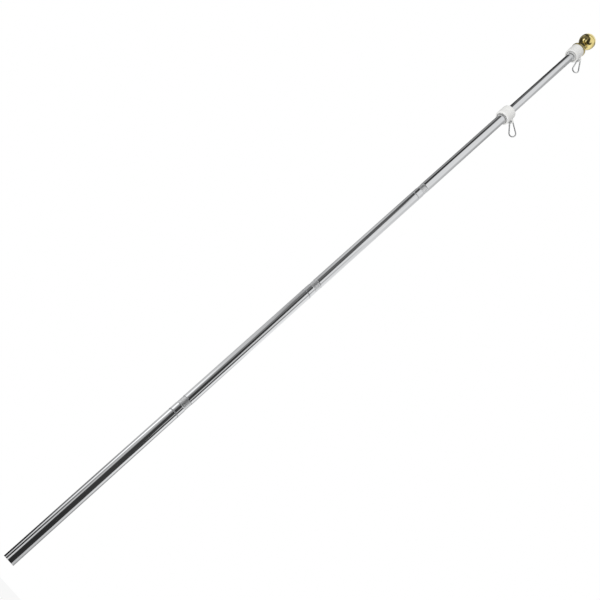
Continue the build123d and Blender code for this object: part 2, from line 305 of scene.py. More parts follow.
def turned(name, outline, finishes, band=None, turns=None):
    """Surface of revolution: each outline point (r, z) goes round the Z axis at angle t as
    (r cos t, r sin t, z).  The second finish covers the band given as its least radius, its
    lowest and its highest level."""
    turns = turns or bpy.context.scene.flagpole.turns
    outline = anticlockwise(np.asarray(outline))
    angle = np.arange(turns)[None, :] * tau / turns
    r, z = outline[:, 0:1], outline[:, 1:2]
    points = np.stack(np.broadcast_arrays(r * np.cos(angle), r * np.sin(angle), z), -1)
    finish_index = None
    if band:
        least, low, high = band
        middle_r, middle_z = (outline + np.roll(outline, -1, 0)).T / 2
        inside = (middle_r > least) & (middle_z > low) & (middle_z < high)
        finish_index = np.repeat(inside, turns)
    return make_piece(name, points, grid_faces(len(outline), turns, True, True), finishes,
                      finish_index)


def close_ends(mesh):
    """Fills the open ends of a bar with flat faces."""
    shape = bmesh.new()
    shape.from_mesh(mesh)
    open_edges = [edge for edge in shape.edges if edge.is_boundary]
    bmesh.ops.holes_fill(shape, edges=open_edges)
    bmesh.ops.recalc_face_normals(shape, faces=shape.faces)
    shape.to_mesh(mesh)
    shape.free()
    mesh.set_sharp_from_angle(angle=CREASE)


def bar(name, path, up, radius, finish, flat=None):
    """Closed bar along a path square to `up`: round the angle t its surface is
    path + across r cos t + up r sin t, with r sin t cut off at the flats."""
    way = np.gradient(path, axis=0)
    way /= np.linalg.norm(way, axis=1)[:, None]
    angle = np.arange(BAR_SIDES)[None, :] * tau / BAR_SIDES
    rise = radius[:, None] * np.sin(angle)
    if flat is not None:
        rise = np.clip(rise, -flat[:, None], flat[:, None])
    across = np.cross(up, way)[:, None] * (radius[:, None] * np.cos(angle))[..., None]
    points = path[:, None] + across + up * rise[..., None]
    piece = make_piece(name, points, grid_faces(len(path), BAR_SIDES, False, True), [finish])
    close_ends(piece.data)
    return piece


def place_on(piece, body, slot, *nodes):
    """Lets a finished piece ride on its body in place of its plain nodes."""
    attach(piece, body)
    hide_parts(*nodes)
    return piece


def dress(node, finish):
    """Gives a node of the frame its finish."""
    for holder in frame["nodes"][node].material_slots:
        holder.material = finish


def extent(node):
    """Outer radius, lowest and highest level of a node that stands on the pole's axis."""
    low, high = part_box(node)
    return high.y, low.z, high.z


def frame_joint(name):
    """Place of a joint in the frame."""
    found = [joint for joint in frame["joints"] if joint["name"] == name]
    return Vector(found[0]["pos_m"])


def facing(name):
    """Turn about the pole's axis from +X to the eye of one of the rings."""
    eye = frame_joint(f"{name}_hook_swing")
    turn = atan2(eye.y, eye.x)
    return np.array(((cos(turn), -sin(turn), 0), (sin(turn), cos(turn), 0), (0, 0, 1)))


# --- finishes -------------------------------------------------------------------------------
def add(tree, kind, inputs=None, **settings):
    """Adds one node: settings are its attributes, and each input is a value or a socket to link."""
    node = tree.nodes.new(kind)
    for key, value in settings.items():
        setattr(node, key, value)
    for key, value in (inputs or {}).items():
        if isinstance(value, bpy.types.NodeSocket):
            tree.links.new(value, node.inputs[key])
        else:
            node.inputs[key].default_value = value
    return node


def finish_of(build):
    """A material made once and named for its function, which fills its tree and returns the
    shader's output.  Glowing paper isn't sampled as a lamp, so it throws no specks of light."""
    if build.__name__ in FINISHES:
        return FINISHES[build.__name__]
    material = FINISHES[build.__name__] = bpy.data.materials.new(build.__name__)
    material.use_nodes = True
    material.cycles.emission_sampling = "NONE"
    tree = material.node_tree
    tree.nodes.clear()
    add(tree, "ShaderNodeOutputMaterial", {"Surface": build(tree)})
    return material


def mottle(tree, across, along, detail=4.0):
    """Noise with cells of the given size in millimetres, across the pole and along it.  The sizes
    in the finishes below were settled, and none of them is measured."""
    place = add(tree, "ShaderNodeTexCoord").outputs["Object"]
    cells = [1 / (size * MM) for size in (across, across, along)]
    mapped = add(tree, "ShaderNodeMapping", {"Vector": place, "Scale": cells})
    return add(tree, "ShaderNodeTexNoise", {"Vector": mapped.outputs["Vector"], "Scale": 1.0,
                                            "Detail": detail, "Roughness": 0.6}).outputs["Fac"]


def uneven_finish(tree, tint, haze, dents, inputs):
    """Shader that follows noise, whose values lie from 0.3 to 0.7: tint is a noise and the two
    linear colours it goes between, haze a noise and the two roughnesses it goes between, dents
    a noise with the depth in metres and the strength of its bump, and inputs holds the rest."""
    mixed, first, second = tint
    share, roughness = (
        add(tree, "ShaderNodeMapRange", {"Value": noise, "From Min": 0.3, "From Max": 0.7,
                                         "To Min": low, "To Max": high}).outputs["Result"]
        for noise, low, high in ((mixed, 0, 1), haze))
    shade = add(tree, "ShaderNodeMix", {"Factor": share, "A": (*first, 1), "B": (*second, 1)},
                data_type="RGBA")
    height, distance, strength = dents
    bump = add(tree, "ShaderNodeBump", {"Height": height, "Distance": distance,
                                        "Strength": strength})
    return add(tree, "ShaderNodeBsdfPrincipled", {
        "Base Color": shade.outputs["Result"], "Roughness": roughness,
        "Normal": bump.outputs["Normal"], **inputs}).outputs["BSDF"]


def belt_polished_stainless(tree):
    """Drawn stainless tube, belt-polished along its length to a mirror: fine hazy lines run
    along the pole and break the reflections into streaks.  The belt's own scratches are too
    fine to show, so the lines are drawn coarser, 1.11 mm wide."""
    lines = mottle(tree, 1.11, 278.0)
    haze = mottle(tree, 33.3, 133.0)
    return uneven_finish(
        tree, tint=(lines, linear("#CDCED0"), linear("#DCDDDE")), haze=(haze, 0.05, 0.11),
        dents=(lines, 0.01 * MM, 0.25), inputs={"Metallic": 1.0})


def rolled_stainless(tree):
    """Waist pressed in by a ribbed roller after polishing: satin, its marks drawn 0.5 mm
    apart."""
    marks = mottle(tree, 40.0, 0.5)
    return uneven_finish(
        tree, tint=(marks, linear("#CFD0D1"), linear("#DEDFE0")), haze=(marks, 0.36, 0.48),
        dents=(marks, 0.04 * MM, 0.4), inputs={"Metallic": 1.0})


def lathe_turned_aluminium(tree):
    """Collar turned on a lathe: satin grey with fine rings from the cutting tool, which are
    drawn coarser than the tool's feed would leave them, 0.286 mm apart."""
    marks = mottle(tree, 47.6, 0.286)
    return uneven_finish(
        tree, tint=(marks, linear("#BFC1C4"), linear("#D5D7D9")), haze=(marks, 0.22, 0.34),
        dents=(marks, 0.03 * MM, 0.3), inputs={"Metallic": 1.0})


def moulded_nylon(tree):
    """White nylon from a mould with a fine spark-eroded face: soft sheen and a little depth.
    The eroded pits are too fine to show, so they are drawn coarser, 0.4 mm wide."""
    pits = mottle(tree, 0.4, 0.4, 2.0)
    cloud = mottle(tree, 16.67, 16.67, 3.0)
    white = bpy.context.scene.flagpole_ring.nylon
    shade = tuple(c * 0.93 for c in white)
    return uneven_finish(
        tree, tint=(cloud, shade, white), haze=(cloud, 0.38, 0.5), dents=(pits, 0.01 * MM, 0.2),
        inputs={"IOR": 1.53, "Subsurface Weight": 0.05, "Subsurface Scale": 0.5,
                "Subsurface Radius": (4 * MM, 4 * MM, 3.5 * MM)})


def greased_nylon(tree):
    """The nylon of the bushes, with a dark band painted along the rim of their flanges as painted
    shade, standing in for the shadow in the gap round the tube.
    """
    settings = bpy.context.scene.flagpole_ring
    shade_start = settings.bush_radius - settings.grease
    place = add(tree, "ShaderNodeTexCoord").outputs["Object"]
    level = add(tree, "ShaderNodeVectorMath", {0: place, 1: (1, 1, 0)}, operation="MULTIPLY")
    radius = add(tree, "ShaderNodeVectorMath", {0: level.outputs["Vector"]}, operation="LENGTH")
    # Share of painted shade, by the distance from the bush's axis, rising towards the rim.
    painted_shade_mask = add(tree, "ShaderNodeMapRange", {"Value": radius.outputs["Value"],
                                               "From Min": shade_start,
                                               "From Max": shade_start + settings.grease_edge})
    # Dark grey of the painted shade band on the rims.
    grease = add(tree, "ShaderNodeBsdfPrincipled", {"Base Color": (*linear("#2B2B2C"), 1),
                                                    "Roughness": 0.35})
    return add(tree, "ShaderNodeMixShader", {"Fac": painted_shade_mask.outputs["Result"],
                                             1: moulded_nylon(tree),
                                             2: grease.outputs["BSDF"]}).outputs[0]


def tumbled_wire(tree):
    """Stainless wire, bent cold and tumbled with ceramic chips: a soft grey gloss with the
    chips' tiny dents, drawn 1.11 mm apart."""
    dents = mottle(tree, 1.11, 1.11, 3.0)
    haze = mottle(tree, 5.0, 5.0, 3.0)
    return uneven_finish(
        tree, tint=(haze, linear("#C6C8C9"), linear("#DADBDC")), haze=(haze, 0.2, 0.34),
        dents=(dents, 0.05 * MM, 0.25), inputs={"Metallic": 1.0})


def lacquered_brass(tree):
    """Spun and polished brass under clear lacquer: a warm mirror with the faint marks of
    spinning, drawn 0.833 mm apart."""
    marks = mottle(tree, 62.5, 0.833)
    haze = mottle(tree, 12.5, 12.5, 3.0)
    return uneven_finish(
        tree, tint=(haze, linear("#DFCA80"), linear("#EBDB98")), haze=(haze, 0.04, 0.08),
        dents=(marks, 0.01 * MM, 0.2),
        inputs={"Metallic": 1.0, "Coat Weight": 0.3, "Coat Roughness": 0.03, "Coat IOR": 1.5})


def moulded_polyethylene(tree):
    """Black polyethylene plug: waxy and slightly scuffed all over."""
    scuffs = mottle(tree, 3.33, 3.33)
    return uneven_finish(
        tree, tint=(scuffs, linear("#1D1D1F"), linear("#2E2E30")), haze=(scuffs, 0.45, 0.65),
        dents=(scuffs, 0.06 * MM, 0.3), inputs={"IOR": 1.51})


# --- pole -----------------------------------------------------------------------------------
def waist_bends(radius, settings, seam):
    """Outer line of the rolled waist above a joint, as (radius, height) corners."""
    low = seam + settings.waist_start
    high = low + settings.waist_length
    slope = settings.waist_depth * WAIST_SLOPE
    waist = radius - settings.waist_depth
    return [(radius, low - slope), (waist, low), (waist, high), (radius, high + slope)]


class FLAGPOLE_OT_tubes(bpy.types.Operator):
    """Five drawn tubes; the middle three have the rolled waist that locks them to a coupling"""
    bl_idname = "flagpole.tubes"
    bl_label = "Tubes"

    def execute(self, context):
        settings = context.scene.flagpole
        finishes = [finish_of(belt_polished_stainless), finish_of(rolled_stainless)]
        for number in range(1, 6):
            node = f"tube_{number}"
            radius, bottom, top = extent(node)
            bore = radius - settings.wall
            bends, band = [], None
            if 1 < number < 5:
                bends = waist_bends(radius, settings, bottom - settings.lip / 2)
                band = (bore, bends[0][1], bends[-1][1])
            inner = [(r - settings.wall, z) for r, z in reversed(bends)]
            corners = [(radius, bottom), *bends, (radius, top), (bore, top), *inner, (bore, bottom)]
            waist = [settings.waist_bend] * len(bends)
            rounds = [settings.edge, *waist, settings.edge,
                      settings.edge / 2, *waist, settings.edge / 2]
            tube = turned(f"{node}_skin", rounded(corners, rounds), finishes, band)
            place_on(tube, "pole", "polished_stainless", node)
        return {"FINISHED"}


class FLAGPOLE_OT_couplings(bpy.types.Operator):
    """Turned couplings: a rounded collar shows between two tubes, the rest is inside them"""
    bl_idname = "flagpole.couplings"
    bl_label = "Couplings"

    def execute(self, context):
        settings = context.scene.flagpole
        aluminium = finish_of(lathe_turned_aluminium)
        for number in range(1, 4):
            node = f"stud_{number}"
            collar, bottom, top = extent(node)
            tube_radius, tube_bottom, _ = extent(f"tube_{number + 1}")
            seam = tube_bottom - settings.lip / 2
            shank = tube_radius - settings.wall
            groove = waist_bends(shank - settings.groove_play, settings, seam)
            lip_bottom, lip_top = tube_bottom - settings.lip, tube_bottom
            corners = [(settings.bore, bottom), (settings.thread, bottom),
                       (settings.thread, lip_bottom), (collar, lip_bottom), (collar, lip_top),
                       (shank, lip_top), *groove, (shank, top), (settings.bore, top)]
            end, lip = settings.coupling_round, settings.lip_round
            rounds = [0, end, 0, lip, lip, 0, 0, 0, 0, 0, end, 0]
            stud = turned(f"{node}_turned", rounded(corners, rounds), [aluminium])
            place_on(stud, "pole", "turned_aluminium", node)
        for node in ("reducer_hub", "finial_plug", *(f"socket_{n}" for n in range(1, 5))):
            dress(node, aluminium)
        return {"FINISHED"}


class FLAGPOLE_OT_foot_plug(bpy.types.Operator):
    """Moulded cup in the pole's foot, with a rounded rim"""
    bl_idname = "flagpole.foot_plug"
    bl_label = "Foot plug"

    def execute(self, context):
        settings = context.scene.flagpole
        radius, bottom, top = extent("foot_plug")
        hollow, floor = radius - settings.plug_wall, bottom + settings.plug_floor
        corners = [(0, bottom), (radius, bottom), (radius, top), (hollow, top), (hollow, floor),
                   (0, floor)]
        rounds = [0, settings.plug_base_round, settings.plug_rim_round, settings.plug_rim_round,
                  settings.plug_hollow_round, 0]
        plug = turned("foot_plug_moulded", rounded(corners, rounds),
                      [finish_of(moulded_polyethylene)])
        place_on(plug, "pole", "grey_plug", "foot_plug")
        return {"FINISHED"}


# --- flag rings -----------------------------------------------------------------------------
def barrel_outline(name, settings):
    """Section of the ring's barrel, with its running rib and a hair-line bead at the parting."""
    radius, bottom, top = extent(f"{name}_ring")
    _, bush_bottom, bush_top = extent(f"{name}_bush")
    middle = (bottom + top) / 2
    mouth = settings.bush_radius + settings.play
    rib = settings.bush_waist + settings.play
    rib_half = (bush_top - bush_bottom) / 2 - settings.bush_flange - settings.play
    seam = frame_joint(f"{name}_hook_swing").z
    bead = settings.parting_half
    corners = [(mouth, bottom), (radius, bottom), (radius, seam - bead),
               (radius + settings.parting, seam), (radius, seam + bead), (radius, top),
               (mouth, top), (mouth, middle + rib_half), (rib, middle + rib_half),
               (rib, middle - rib_half), (mouth, middle - rib_half)]
    rounds = [settings.inner_round, settings.mouth_round, 0, 0, 0, settings.mouth_round,
              settings.inner_round, 0, settings.groove_round, settings.groove_round, 0]
    return rounded(corners, rounds, 10)


def eye_bar(name, settings, finish):
    """Round bar bent into a D: its line is two legs, two quarter bends and a cross bar, and its
    radius swells by the fillet, falling off as a square, where it leaves the barrel."""
    barrel = extent(f"{name}_ring")[0]
    hinge = frame_joint(f"{name}_hook_swing")
    corner, half = settings.eye_corner, settings.eye_half_width
    straight = hinge.xy.length - corner
    swing = np.linspace(0, pi / 2, EYE_BEND_STEPS)
    leg = np.linspace(barrel - settings.eye_root, straight, EYE_LEG_STEPS)
    x = np.concatenate([leg, straight + corner * np.sin(swing[1:])])
    y = np.concatenate([np.full(EYE_LEG_STEPS, -half), -half + corner - corner * np.cos(swing[1:])])
    x, y = np.concatenate([x, x[::-1]]), np.concatenate([y, -y[::-1]])
    path = np.stack([x, y, np.full(len(x), hinge.z)], -1) @ facing(name).T
    wall = np.sqrt(barrel ** 2 - half ** 2)
    near = np.clip(1 - (x - wall) / settings.eye_fillet_reach, 0, 1)
    radius = settings.eye_bar + settings.eye_fillet * near ** 2
    return bar(f"{name}_ring_eye", path, np.array((0.0, 0.0, 1.0)), radius, finish)


def split_spool(name, settings, finish):
    """Bush turned about Z but for its split: each outline point starts asin(half split / r)
    from the split's middle, so that the split has parallel sides, and flat ends close it."""
    node = f"{name}_bush"
    _, bottom, top = extent(node)
    bore = extent(TUBES[name])[0] + settings.bush_gap
    radius, waist, flange = settings.bush_radius, settings.bush_waist, settings.bush_flange
    corners = [(bore, bottom), (radius, bottom), (radius, bottom + flange),
               (waist, bottom + flange), (waist, top - flange), (radius, top - flange),
               (radius, top), (bore, top)]
    ends = [settings.bush_bore_round, settings.bush_rim_round]
    rounds = ends + [settings.groove_round] * 4 + ends[::-1]
    outline = anticlockwise(rounded(corners, rounds))
    r, z = outline[:, 0:1], outline[:, 1:2]
    start = np.arcsin(settings.bush_split / 2 / r)
    angle = pi + start + np.linspace(0, 1, BUSH_STEPS)[None, :] * (tau - 2 * start)
    points = np.stack(np.broadcast_arrays(r * np.cos(angle), r * np.sin(angle), z), -1)
    faces = grid_faces(len(outline), BUSH_STEPS, True, False)
    piece = make_piece(f"{node}_moulded", points, faces, [finish])
    close_ends(piece.data)
    return place_on(piece, "pole", "white_nylon", node)


class FLAGPOLE_OT_rings(bpy.types.Operator):
    """Two moulded flag rings with their eyes, each on a split bush"""
    bl_idname = "flagpole.rings"
    bl_label = "Flag rings"

    def execute(self, context):
        settings = context.scene.flagpole_ring
        nylon = finish_of(moulded_nylon)
        for name in RINGS:
            node = f"{name}_ring"
            barrel = turned(f"{node}_barrel", barrel_outline(name, settings), [nylon])
            place_on(barrel, node, "white_nylon", node)
            place_on(eye_bar(name, settings, nylon), node, "white_nylon", node)
            split_spool(name, settings, finish_of(greased_nylon))
        return {"FINISHED"}


# --- snap hooks -----------------------------------------------------------------------------
def hook_plane(name, settings):
    """Middle of the upper bend, and the hook's directions across, along and out of its plane."""
    side = RINGS[name]
    hang, turn = getattr(settings, f"{name}_hang"), settings.turn
    along = facing(name) @ (sin(hang), 0, -cos(hang))
    across = facing(name) @ (cos(hang) * cos(turn), -sin(turn), sin(hang) * cos(turn)) * side
    return np.array(frame_joint(f"{name}_hook_swing")), across, along, np.cross(across, along)


def side_tangent(settings, side):
    """Common tangent of the two bends on one side, -1 the gate's: its ends and direction."""
    lean = atan2(settings.wide_shift, settings.wide_drop)
    reach = hypot(settings.wide_shift, settings.wide_drop)
    angle = lean + side * asin((settings.wide - settings.narrow) / reach)
    outward = side * np.array((cos(angle), -sin(angle)))
    bottom = np.array((settings.wide_shift, settings.wide_drop)) + outward * settings.wide
    return outward * settings.narrow, bottom, np.array((sin(angle), cos(angle)))


def bend_points(middle, start, end, steps, through):
    """Points of an arc about `middle` from start to end that passes on the side of `through`."""
    first = atan2(*(start - middle)[::-1])
    last = atan2(*(end - middle)[::-1])
    aim = atan2(*(through - middle)[::-1])
    last = first + (last - first) % tau
    if (aim - first) % tau > last - first:
        last -= tau
    angle = np.linspace(first, last, steps)
    radius = np.linalg.norm(start - middle)
    return middle + radius * np.stack([np.cos(angle), np.sin(angle)], -1)


def hook_wire(name, settings, finish):
    """Wire swept along a gate-side stub, the narrow bend, the spine, the wide bend and the nose.
    Its section is a circle, cut to two flats at the tang and the nose."""
    origin, across, along, out = hook_plane(name, settings)
    gate_top, gate_bottom, gate_way = side_tangent(settings, -1)
    spine_top, spine_bottom, _ = side_tangent(settings, 1)
    stub = gate_top + gate_way * np.linspace(settings.tang_end, 0, STUB_STEPS)[:, None]
    narrow = bend_points(np.zeros(2), gate_top, spine_top, NARROW_STEPS, np.array((0.0, -1.0)))
    spine = spine_top + (spine_bottom - spine_top) * np.linspace(0, 1, SPINE_STEPS)[:, None]
    middle = np.array((settings.wide_shift, settings.wide_drop))
    wide = bend_points(middle, spine_bottom, gate_bottom, WIDE_STEPS, middle + (0, 1))
    reach = np.linalg.norm(gate_bottom - gate_top)
    nose = gate_top + gate_way * np.linspace(reach, settings.nose_tip, NOSE_STEPS)[:, None]
    flat_path = np.concatenate([stub, narrow[1:], spine[1:], wide[1:], nose[1:]])
    path = origin + flat_path[:, :1] * across + flat_path[:, 1:] * along
    travelled = np.cumsum([0, *np.linalg.norm(np.diff(path, axis=0), axis=1)])
    left = travelled[-1] - travelled
    from_tang = travelled - (settings.tang_end - settings.tang_start)
    from_nose = left - (settings.nose_start - settings.nose_tip)
    full = smooth(np.minimum(from_tang, from_nose) / settings.flat_slope)
    flat = settings.tang_half + (settings.wire - settings.tang_half) * full
    to_end = np.minimum(travelled, left) / settings.tip_round
    tip = np.sqrt(1 - np.clip(1 - to_end, 0, 1) ** 2)
    drawn_in = settings.tip_share + (1 - settings.tip_share) * tip
    wire = bar(f"{name}_hook_wire", path, out, settings.wire * drawn_in, finish, flat * drawn_in)
    return place_on(wire, f"{name}_hook", "hook_wire", f"{name}_hook")


class FLAGPOLE_OT_hooks(bpy.types.Operator):
    """Two snap hooks: bent wire, with the sprung gate and its rivet"""
    bl_idname = "flagpole.hooks"
    bl_label = "Snap hooks"

    def execute(self, context):
        settings = context.scene.flagpole_hook
        wire = finish_of(tumbled_wire)
        for name in RINGS:
            hook_wire(name, settings, wire)
            dress(f"{name}_gate", wire)
            dress(f"{name}_rivet", wire)
        return {"FINISHED"}


# --- finial ---------------------------------------------------------------------------------
def socket_outline(settings):
    """Section of the socket: flange, flare, neck, the ball's seat and the spigot, with the bore
    for the top tube and the hole for the plug's rod inside."""
    flange, foot, tip = extent("finial_socket")
    tube, _, tube_top = extent("tube_5")
    bore, roof = tube + settings.play, tube_top + settings.roof
    seat = foot + settings.seat_height
    corners = [(flange, foot), (flange, foot + settings.rim),
               (settings.neck, foot + settings.flare_top),
               (settings.neck, foot + settings.neck_top),
               (settings.seat, seat - settings.seat_rim), (settings.seat, seat),
               (settings.spigot, seat), (settings.spigot, tip),
               (settings.rod, tip), (settings.rod, roof), (bore, roof), (bore, foot)]
    rounds = [settings.rim_round, settings.rim_round, settings.flare_round,
              settings.shoulder_round, settings.seat_hollow, settings.seat_round,
              settings.seat_round, settings.spigot_round, 0, 0, 0, settings.bore_round]
    return rounded(corners, rounds, 12)


def ball_outline(settings):
    """Two circles about the ball's middle, from the top down to the flat seat and back."""
    middle = extent("finial_ball")[2] - settings.ball
    drop = middle - extent("finial_socket")[1] - settings.seat_height
    inner = settings.ball - settings.ball_wall
    hole = settings.spigot + settings.play
    outer_end = pi - np.arcsin(np.sqrt(settings.ball ** 2 - drop ** 2) / settings.ball)
    inner_end = pi - np.arcsin(hole / inner)
    outer_angle = np.linspace(0, outer_end, BALL_STEPS)
    inner_angle = np.linspace(inner_end, 0, BALL_STEPS // 2)
    outer = settings.ball * np.stack([np.sin(outer_angle), np.cos(outer_angle)], -1)
    inside = inner * np.stack([np.sin(inner_angle), np.cos(inner_angle)], -1)
    return np.concatenate([outer, [(hole, -drop)], inside]) + (0, middle)


class FLAGPOLE_OT_finial(bpy.types.Operator):
    """Flared brass socket and the hollow spun ball that sits on its neck"""
    bl_idname = "flagpole.finial"
    bl_label = "Finial"

    def execute(self, context):
        settings = context.scene.flagpole_finial
        brass = [finish_of(lacquered_brass)]
        socket = turned("finial_socket_turned", socket_outline(settings), brass)
        place_on(socket, "pole", "gold_brass", "finial_socket")
        ball = turned("finial_ball_spun", ball_outline(settings), brass,
                      turns=settings.ball_turns)
        place_on(ball, "pole", "gold_brass", "finial_ball")
        return {"FINISHED"}


# --- stage ----------------------------------------------------------------------------------
# Card of the pole: name, fading width in degrees, and stations: height on the pole where the
# camera finds it, both sides in degrees from the direction towards the camera, light.
POLE_CARDS = (
    ("top_shade", 8, [(1.93, -150, 52, 0.05), (2.3, -150, 52, 0.05)]),
    ("top_edge", 8, [(1.93, 78, 212, 0.05), (2.3, 78, 212, 0.05)]),
    ("core", 5, [(0.0, -24, 68, 0.035), (0.1, -24, 71, 0.04), (0.2, -25, 71, 0.06),
                 (0.3, -26, 71, 0.06), (0.34, -22, 34, 0.055), (0.46, -20, 29, 0.05),
                 (0.57, -20, 23, 0.045), (0.74, -20, 16, 0.05), (0.86, -24, 10, 0.1),
                 (1.0, -30, 6, 0.16)]),
    ("right_line", 5, [(0.26, 42, 74, 0.05), (0.46, 43, 74, 0.06), (0.57, 43, 74, 0.06),
                       (0.68, 44, 72, 0.24), (0.86, 42, 68, 0.6), (1.02, 42, 64, 0.8)]),
    ("skirt", 6, [(0.26, 10, 60, 0.3), (0.34, 10, 60, 0.5), (0.46, 8, 60, 0.68),
                  (0.68, 0, 60, 0.84), (0.78, -4, 60, 1.0), (0.9, -8, 60, 1.0)]),
    ("rail", 4, [(0.0, -77, -46, 0.01), (0.05, -76, -45, 0.01), (0.1, -74, -44, 0.1),
                 (0.17, -72, -43, 0.3), (0.26, -68, -44, 0.56), (0.36, -66, -44, 0.75)]),
    ("far_rail", 5, [(0.0, -146, -94, 0.01), (0.05, -144, -95, 0.02), (0.1, -142, -99, 0.1),
                     (0.13, -138, -104, 0.24), (0.2, -138, -106, 0.28), (0.31, -138, -106, 0.5),
                     (0.38, -138, -106, 0.7), (0.6, -138, -106, 0.6), (0.84, -138, -104, 0.4),
                     (1.0, -138, -104, 0.66), (1.15, -138, -104, 0.6)]),
    ("bright_strip", 7, [(0.0, -97, -74, 0.66), (0.05, -97, -74, 0.92), (0.12, -99, -74, 1.15),
                         (0.2, -98, -72, 1.4), (0.3, -97, -70, 1.75), (0.4, -92, -58, 1.7),
                         (0.5, -84, -56, 1.4), (0.56, -78, -56, 0.9)]),
    ("wing", 20, [(0.0, -32, 20, 0.35), (0.2, -34, 20, 0.4), (0.31, -42, 20, 0.4),
                  (0.41, -54, 20, 0.28), (0.68, -57, 20, 0.25), (0.76, -62, 20, 0.22),
                  (0.86, -65, 10, 0.22)]),
    ("canopy", 8, [(0.71, -64, 10, 0.19), (0.86, -66, 6, 0.18), (1.0, -73, 5, 0.14),
                   (1.1, -78, -6, 0.15), (1.2, -84, -27, 0.07), (1.3, -84, -36, 0.03),
                   (1.42, -84, -36, 0.03), (1.53, -84, -34, 0.08), (1.61, -92, -46, 0.2),
                   (1.7, -168, -60, 0.1), (1.8, -174, -66, 0.05), (2.3, -174, -68, 0.05)]),
    ("left_end", 14, [(0.7, -178, -112, 0.85), (0.95, -178, -112, 0.6), (1.2, -178, -112, 0.3),
                      (1.55, -178, -112, 0.26), (1.68, -178, -112, 0.1)]),
    ("veil", 12, [(1.12, -92, -14, 0.5), (1.22, -128, -22, 0.42), (1.37, -168, -30, 0.37),
                  (1.55, -168, -28, 0.37), (1.7, -168, -36, 0.35), (1.8, -168, -38, 0.33),
                  (2.3, -168, -36, 0.3)]),
    ("left_wall", 5, [(0.0, -175, -100, 0.1), (0.1, -175, -100, 0.2), (0.2, -175, -100, 0.3),
                      (0.31, -175, -100, 0.7), (0.7, -175, -100, 1.0), (0.9, -175, -100, 0.9),
                      (1.2, -175, -100, 0.5)]),
    ("front_wall", 5, [(0.0, -104, 0, 0.95), (0.12, -104, 0, 0.74), (0.36, -104, 0, 0.68),
                       (0.5, -104, 0, 0.86), (0.68, -104, 0, 0.7), (0.76, -104, 0, 0.46),
                       (0.86, -104, 0, 0.66), (0.95, -104, 0, 0.84), (1.06, -104, 0, 0.8),
                       (1.2, -104, 0, 0.5)]),
    ("right_end", 20, [(0.0, 104, 180, 0.4), (0.3, 104, 180, 0.46), (0.62, 104, 180, 0.9)]),
    ("right_top", 20, [(1.2, 90, 180, 0.75), (1.5, 90, 180, 0.42), (1.6, 90, 180, 0.6)]),
    ("right_wall", 22, [(0.0, 40, 180, 0.68), (0.1, 40, 180, 0.84), (0.26, 36, 180, 1.08),
                        (0.4, 36, 180, 1.18), (0.7, 36, 180, 1.12), (0.9, 50, 180, 1.02),
                        (1.06, 60, 180, 0.88), (1.29, 60, 180, 0.74), (1.53, 60, 180, 0.56),
                        (1.68, 60, 180, 0.66), (1.9, 30, 180, 0.5), (2.3, 30, 180, 0.5)]),
    ("back_wall", 10, [(0.0, 148, 212, 0.12), (1.0, 148, 212, 0.2), (2.3, 148, 212, 0.16)]),
)
# Card of the ball, with the angle above the horizon in place of the height.
BALL_CARDS = (
    ("ball_left", 10, [(-42, -178, -88, 0.02), (-20, -178, -88, 0.05), (22, -178, -88, 0.1)]),
    ("ball_front", 8, [(-40, -62, -28, 0.02), (-24, -64, -30, 0.02), (-18, -98, -34, 0.09),
                       (-8, -98, -37, 0.19), (8, -98, -41, 0.18), (20, -98, -44, 0.14)]),
)


CARD_ROWS, CARD_COLUMNS = 120, 60
CARD_STEP = 0.01                         # from card to card, as a share of the reach
POLE_CARD_FADE = 0.04                    # height on the pole over which a card ends
FLOOR_GAP = 0.02                         # of the first card that lies on the floor
FLOOR_STEP = 0.05                        # share of it that each card lies lower
FLOOR_HALF, FLOOR_POINTS = 12.0, 9       # half the floor's side, and points along a side
# Softboxes: name, place, aim, side in metres and power in watts.
LAMPS = (
    ("key_softbox", (-2.5, -0.8, 2.6), (0, 0, 1.2), 1.6, 12),
    ("rim_softbox", (2.4, 1.2, 2.0), (0, 0, 1.2), 1.4, 3),
    ("low_softbox", (-0.7, -0.9, 0.1), (0, 0, 1.8), 1.2, 18),
)


def card_paper(tree):
    """Card whose light and cover are given at its points, so that its edge fades out."""
    light = add(tree, "ShaderNodeAttribute", attribute_name="light").outputs["Fac"]
    cover = add(tree, "ShaderNodeAttribute", attribute_name="cover").outputs["Fac"]
    paper = add(tree, "ShaderNodeEmission", {"Color": (1, 1, 1, 1), "Strength": light})
    clear = add(tree, "ShaderNodeBsdfTransparent")
    return add(tree, "ShaderNodeMixShader", {"Fac": cover, 1: clear.outputs[0],
                                             2: paper.outputs[0]}).outputs[0]


def card_patch(stations, soft, fade, stands):
    """Level, turn, light and cover over a card.

    Between the stations its sides and its light change evenly.  It fades over `soft` degrees
    at its sides and over `fade` at its ends, but not at the foot of a card that stands.
    """
    stops, left, right, light = np.array(stations, float).T
    level = np.linspace(stops[0], stops[-1], CARD_ROWS)[:, None]
    start = np.interp(level, stops, left)
    end = np.interp(level, stops, right)
    turn = start + (end - start) * np.linspace(0, 1, CARD_COLUMNS)[None, :]
    ends = (stops[-1] - level) / fade
    if not stands:
        ends = np.minimum(ends, (level - stops[0]) / fade)
    cover = smooth(np.minimum(turn - start, end - turn) / soft) * smooth(ends)
    light = np.interp(level, stops, light) + 0 * turn
    return level + 0 * turn, np.radians(turn), light, cover


def stage_card(name, points, light, cover):
    """Card that only shows in polished metal, with light and cover given at its points."""
    card = make_piece(name, points, grid_faces(CARD_ROWS, CARD_COLUMNS, False, False),
                      [finish_of(card_paper)], weld=False)
    for attribute, values in (("light", light), ("cover", cover)):
        layer = card.data.attributes.new(attribute, "FLOAT", "POINT")
        layer.data.foreach_set("value", values.astype(np.float32).ravel())
    card.visible_camera = False
    card.visible_diffuse = False
    card.visible_shadow = False


